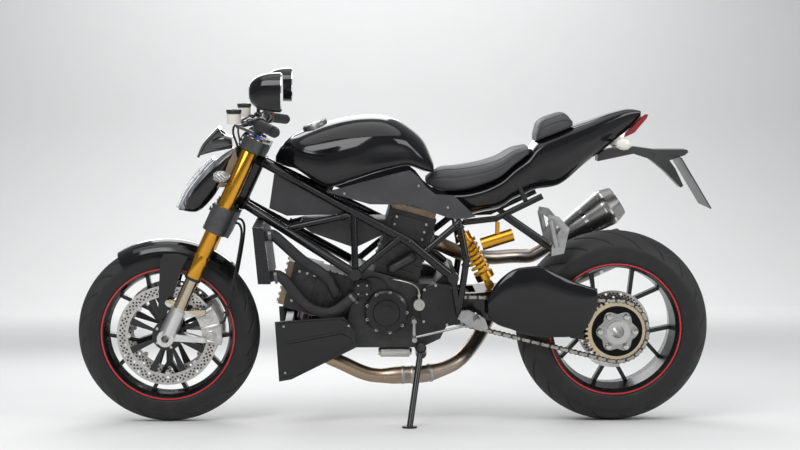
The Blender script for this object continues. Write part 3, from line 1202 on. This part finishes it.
class MOTO_OT_engine(bpy.types.Operator):
    """Makes the engine's bolts, clutch cylinder, pump face and hose clamps, and the sprocket's carrier"""
    bl_idname = "moto.engine"
    bl_label = "Engine fittings"

    def execute(self, context):
        half = context.scene.moto_sizes.bolt * 500.0
        left = [bolts(circle_of(CRANK + LEFT * 122.4, 66.5, 9, 20.0), LEFT, half),
                bolts(circle_of(SLAVE + LEFT * 135.2, 14.0, 3, 90.0), LEFT, half * 0.6),
                lathe(SLAVE_CAP, 40, SLAVE + LEFT * 121.2, LEFT),
                lathe(SLAVE_UNION, 16, SLAVE + [0, 127, 17]),
                hull(swept(SLAVE_PIPE, 5.0, 12, LEFT, 8)),
                bolts(circle_of(PUMP + LEFT * 137.0, 20.0, 4, 45.0), LEFT, half * 0.6),
                bolts(COVER_BOLTS, LEFT, half * 0.9)]
        right = [bolts(circle_of(CLUTCH, 82.0, 10, 18.0), -LEFT, half), lathe(FILLER_CAP, 12, FILLER, -LEFT)]
        put("engine_bolts", joined(left + right), "chassis",
            polished("engine_bolt_steel", (0.5, 0.49, 0.46), 0.3), 30.0)
        put("pump_face", lathe(PUMP_FACE, 40, PUMP + LEFT * 132.2, LEFT), "chassis",
            FINISHES["black_cover"])
        self.clamps()
        self.head_bolts()
        self.carrier()
        return {"FINISHED"}

    def clamps(self):
        """The bands and screws that hold the coolant hoses."""
        bands = []
        for at, way in HOSE_ENDS:
            band = turned([(17.4, -5), (19.2, -5), (19.2, 5), (17.4, 5)], 40, at, way)
            out = unit(np.cross(way, LEFT if abs(way[1]) < 0.5 else [1.0, 0.0, 0.0]))
            bands += [hull(band, wrap_rows=True), bolts([at + out * 21.5], np.cross(out, way), 4.5)]
        put("hose_clamps", joined(bands), "chassis",
            cast("clamp_band", (0.2, 0.2, 0.2), 0.3, 0.9), 30.0)

    def head_bolts(self):
        """The bolts on top of the cam covers and the studs at the sides of the cylinders."""
        parts = []
        for a in (V_TILT, V_TILT + math.pi / 2):
            out, up = spoke(a), spoke(a + math.pi / 2)
            top = [CRANK + out * 350.2 + up * s + LEFT * y for s in (-62, -20, 20, 62) for y in (-60, 60)]
            studs = [CRANK + out * d + up * s + LEFT * 82.2 for d in (257, 308, 282) for s in (-50, 50)]
            parts += [bolts(top, out, 5.5), both(bolts(studs, LEFT, 4.5))]
        put("head_bolts", joined(parts), "chassis", FINISHES["engine_bolt_steel"], 30.0)

    def carrier(self):
        """The lobed carrier on the rear sprocket, whose radius swells six times a turn, and its nuts."""
        nut = lathe([(11, 0), (11, 3), (9, 6.5), (4, 8.2), (0.1, 8.6)], 24)
        nuts = copies(nut, frames_along(circle_of(REAR + LEFT * 128.0, 57.0, 6), LEFT))
        put("sprocket_nut_caps", nuts, "rear_wheel", FINISHES["button_steel"])
        a = round_angles(144)
        lobe = 57.0 + 13.0 * (0.5 + 0.5 * np.cos(6 * a)) ** 0.8
        rows = [(0 * a + 40.0, 121.0), (lobe, 120.2), (lobe, 123.0), (lobe - 1.6, 124.3),
                (0 * a + 44.0, 125.6), (0 * a + 40.0, 125.6)]
        grid = np.stack([REAR + r[:, None] * spoke(a) + LEFT * y for r, y in rows])
        put("sprocket_carrier", hull(grid, wrap_rows=True), "rear_wheel",
            polished("carrier_metal", (0.4, 0.4, 0.39), 0.28, 60.0), 30.0)


# Outlines in side view: the belly panels' raised fields, the headlight's bracket, the screen's cheek
BELLY_TOP = [(1112, 352), (1085, 356), (902, 369), (870, 350), (893, 331), (1085, 293), (1104, 310)]
BELLY_LOW = [(1099, 283), (900, 322), (872, 309), (862, 288), (1062, 181), (1098, 173)]
LAMP_TRIM = [(1247, 918), (1262, 884), (1310, 826), (1350, 797), (1338, 788), (1262, 790), (1286, 806),
             (1262, 836), (1240, 880)]
CHEEK = [(1370, 888), (1345, 928), (1304, 974), (1284, 958), (1280, 910), (1322, 902)]
# Columns: along, top, bottom, middle across, half width of the swingarm's left limb
LIMB = [(428, 440, 372.1, 143, 8), (394.9, 489.9, 350.1, 143, 15), (350, 526, 335.1, 144, 18),
        (299.8, 536, 318.1, 144, 18), (252.8, 536, 309.9, 143, 17), (200.2, 511.9, 309, 141, 15),
        (150, 488.1, 311, 138, 12), (110.1, 474, 330.1, 136, 10), (72, 464, 400, 133, 7)]
SIDE_SCREWS = [(894, 130.2, 775), (655, 130.2, 800), (560, 130.2, 730)]
BELLY_SCREWS = [(1090, 150.2, 345), (880, 150.2, 347), (1086, 149.2, 192)]


def raised(outline, y0, y1, inset):
    """A plate over an outline that its middle sees whole: upright sides and a bevelled edge."""
    p = np.asarray(outline, float)
    mid = p.mean(0)
    near = p - unit(p - mid) * inset
    rows = [(p, y0), (p, y1 - inset / 2), (near, y1)]
    return hull(np.stack([np.insert(r, 1, y, axis=1) for r, y in rows]))


def plate(outline, y, thick):
    """A flat plate over any outline: the outline at two places across, with a level face at each."""
    p = np.asarray(outline, float)
    n = len(p)
    if np.sum(p[:, 0] * np.roll(p[:, 1], -1) - np.roll(p[:, 0], -1) * p[:, 1]) < 0:
        p = p[::-1]
    verts = np.concatenate([np.insert(p, 1, h, axis=1) for h in (y, y + thick)])
    j = np.arange(n)
    walls = np.stack([j, n + j, n + (j + 1) % n, (j + 1) % n], -1)
    return verts, [walls, j[None], (n + j[::-1])[None]]


class MOTO_OT_panels(bpy.types.Operator):
    """Makes the swingarm's crowned limb, the raised fields of the belly panels, brackets and screws"""
    bl_idname = "moto.panels"
    bl_label = "Panel relief"

    def execute(self, context):
        gloss = FINISHES["gloss_black_paint"]
        fields = joined([raised(BELLY_TOP, 146.8, 150.0, 5.0), raised(BELLY_LOW, 146.8, 149.0, 5.0)])
        put("belly_fields", both(fields), "chassis", gloss, 25.0)
        screws = joined([bolts(SIDE_SCREWS, LEFT, 4.5), bolts(BELLY_SCREWS, LEFT, 4.0)])
        put("panel_screws", both(screws), "chassis", FINISHES["engine_bolt_steel"], 30.0)
        along, top, low, mid, half = np.split(finer(LIMB, 8), 5, axis=1)
        side, up = rounded(64, 2.0, 2.0)
        limb = np.stack([along + 0 * side, mid + 4.5 + (half + 4.5) * side,
                         (top + low) / 2 + ((top - low) / 2 * 1.02 + 0.8) * up], -1)
        put("swingarm_limb", hull(domed(limb, 3.0)), "chassis", gloss, 60.0)
        put("lamp_brackets", both(plate(LAMP_TRIM, 70.0, 3.0)), "steering",
            cast("bracket_sand", (0.34, 0.27, 0.19), 0.45, 0.3), 30.0)
        put("screen_cheeks", both(raised(CHEEK, 38.0, 47.0, 5.0)), "steering",
            FINISHES["smoked_screen"], 25.0)
        return {"FINISHED"}


# The stage, in metres: half width of the floor, where its backdrop stands and ends, radius of the bend
FLOOR_HALF, WALL, WALL_TOP, BEND = 16.0, -13.0, 6.0, 2.2
FLOOR_COLUMNS = 12
# Columns of the area lamps: name, place, what it points at, size, power
LAMPS = [("key", (1.8, 3.6, 3.4), (0.2, 0, 0.5), 2.6, 125.0),
         ("side", (-3.4, 2.4, 2.2), (-0.3, 0, 0.5), 2.0, 60.0),
         ("rim", (0.6, -3.0, 2.6), (0, 0, 0.6), 2.2, 50.0),
         ("backdrop", (0.0, -10.2, 5.2), (0, WALL, 1.2), 7.0, 235.0)]
CEILING_POWER, CEILING_SPREAD = 1.32, math.radians(70.0)
AIR, AIR_POWER = (0.85, 0.87, 0.9, 1.0), 0.31
# Where the photograph was taken from, in upright millimetres, and the camera's yaw, pitch and roll
CAMERA = (876.5, 4990.1, 1259.9)
CAMERA_TURN = np.radians([1.9106, 6.8835, 0.2273])


def placed(axes, at):
    """A matrix from three axes and a place."""
    return Matrix([[*np.transpose(axes)[k], at[k]] for k in range(3)] + [[0, 0, 0, 1]])


def looking(place, way):
    """A matrix at a place whose view runs along a direction, upright."""
    z = -unit(way)
    x = unit(np.cross(UP, z))
    return placed([x, np.cross(z, x), z], place)


def photo_matrix():
    """The camera's matrix: turned by yaw and pitch, rolled about its view, then leaned with the machine."""
    yaw, pitch, roll = CAMERA_TURN
    ahead = np.array([-math.sin(yaw) * math.cos(pitch), -math.cos(yaw) * math.cos(pitch), -math.sin(pitch)])
    right = np.array([-math.cos(yaw), math.sin(yaw), 0.0])
    above = np.cross(right, ahead)
    axes = [right * math.cos(roll) + above * math.sin(roll),
            above * math.cos(roll) - right * math.sin(roll), -ahead]
    return placed(np.array(axes) @ TURN.T, park(CAMERA))


class MOTO_OT_stage(bpy.types.Operator):
    """Sets up the floor, the backdrop, the lamps and the camera"""
    bl_idname = "moto.stage"
    bl_label = "Stage"

    def execute(self, context):
        scene = context.scene
        pale = rgb(scene.moto_stage.floor)
        grey = shade(pale, 0.97)
        soft = finish("pale_floor", lambda p: {"Base Color": p.noise(3.0, 3.0).mix(pale, grey)}, Roughness=0.7)
        bend = np.linspace(0, np.pi / 2, 24)[1:]
        y = np.concatenate([np.linspace(FLOOR_HALF, WALL + BEND, 20), WALL + BEND - BEND * np.sin(bend),
                            np.full(6, WALL)])[:, None]
        z = np.concatenate([np.zeros(20), BEND - BEND * np.cos(bend), np.linspace(2.4, WALL_TOP, 6)])[:, None]
        x = np.linspace(-FLOOR_HALF, FLOOR_HALF, FLOOR_COLUMNS)
        corners = np.stack([x + 0 * y, y + 0 * x, z + 0 * x], -1).reshape(-1, 3)
        n = FLOOR_COLUMNS
        first = (np.arange(len(y) - 1)[:, None] * n + np.arange(n - 1)).reshape(-1, 1)
        floor = added("floor", meshed("floor", corners, [first + [0, n, n + 1, 1]], soft))
        scene.world = scene.world or bpy.data.worlds.new("studio")
        scene.world.use_nodes = True
        air = scene.world.node_tree.nodes["Background"].inputs
        air["Color"].default_value, air["Strength"].default_value = AIR, AIR_POWER
        for name, place, aim, size, power in LAMPS:
            lamp = bpy.data.lights.new(name, "AREA")
            lamp.size, lamp.energy = size, power
            added(name, lamp, looking(place, np.subtract(aim, place)))
        ceiling = bpy.data.lights.new("ceiling", "SUN")
        ceiling.angle, ceiling.energy = CEILING_SPREAD, CEILING_POWER
        added("ceiling", ceiling, looking((0.0, 0.0, 5.0), (0.05, -0.1, -1.0)))
        view = bpy.data.cameras.new("photo_view")
        view.lens = scene.moto_stage.lens
        scene.camera = added("photo_view", view, photo_matrix())
        scene.view_settings.view_transform = "Standard"
        return {"FINISHED"}


STEPS = [MOTO_OT_stage, MOTO_OT_solids, MOTO_OT_bodywork, MOTO_OT_seats, MOTO_OT_lamps, MOTO_OT_exhaust,
         MOTO_OT_tyres, MOTO_OT_chain, MOTO_OT_brakes, MOTO_OT_fork_trim, MOTO_OT_cockpit, MOTO_OT_welds,
         MOTO_OT_engine, MOTO_OT_panels]
GROUPS = {"moto_look": MotoLook, "moto_sizes": MotoSizes, "moto_stage": MotoStage}


class MOTO_PT_panel(bpy.types.Panel):
    """The steps that dress the machine, and their values"""
    bl_idname = "MOTO_PT_panel"
    bl_label = "Motorcycle"
    bl_space_type = "VIEW_3D"
    bl_region_type = "UI"
    bl_category = "Motorcycle"

    def draw(self, context):
        for name, kind in GROUPS.items():
            box = self.layout.box()
            for key in kind.__annotations__:
                box.prop(getattr(context.scene, name), key)
        for step in STEPS:
            self.layout.operator(step.bl_idname)


CLASSES = [*GROUPS.values(), *STEPS, MOTO_PT_panel]


def register():
    for kind in CLASSES:
        bpy.utils.register_class(kind)
    for name, kind in GROUPS.items():
        setattr(bpy.types.Scene, name, bpy.props.PointerProperty(type=kind))


def unregister():
    for name in GROUPS:
        delattr(bpy.types.Scene, name)
    for kind in reversed(CLASSES):
        bpy.utils.unregister_class(kind)


def main():
    register()
    for step in STEPS:
        group, name = step.bl_idname.split(".")
        getattr(getattr(bpy.ops, group), name)()


if __name__ == "__main__":
    main()
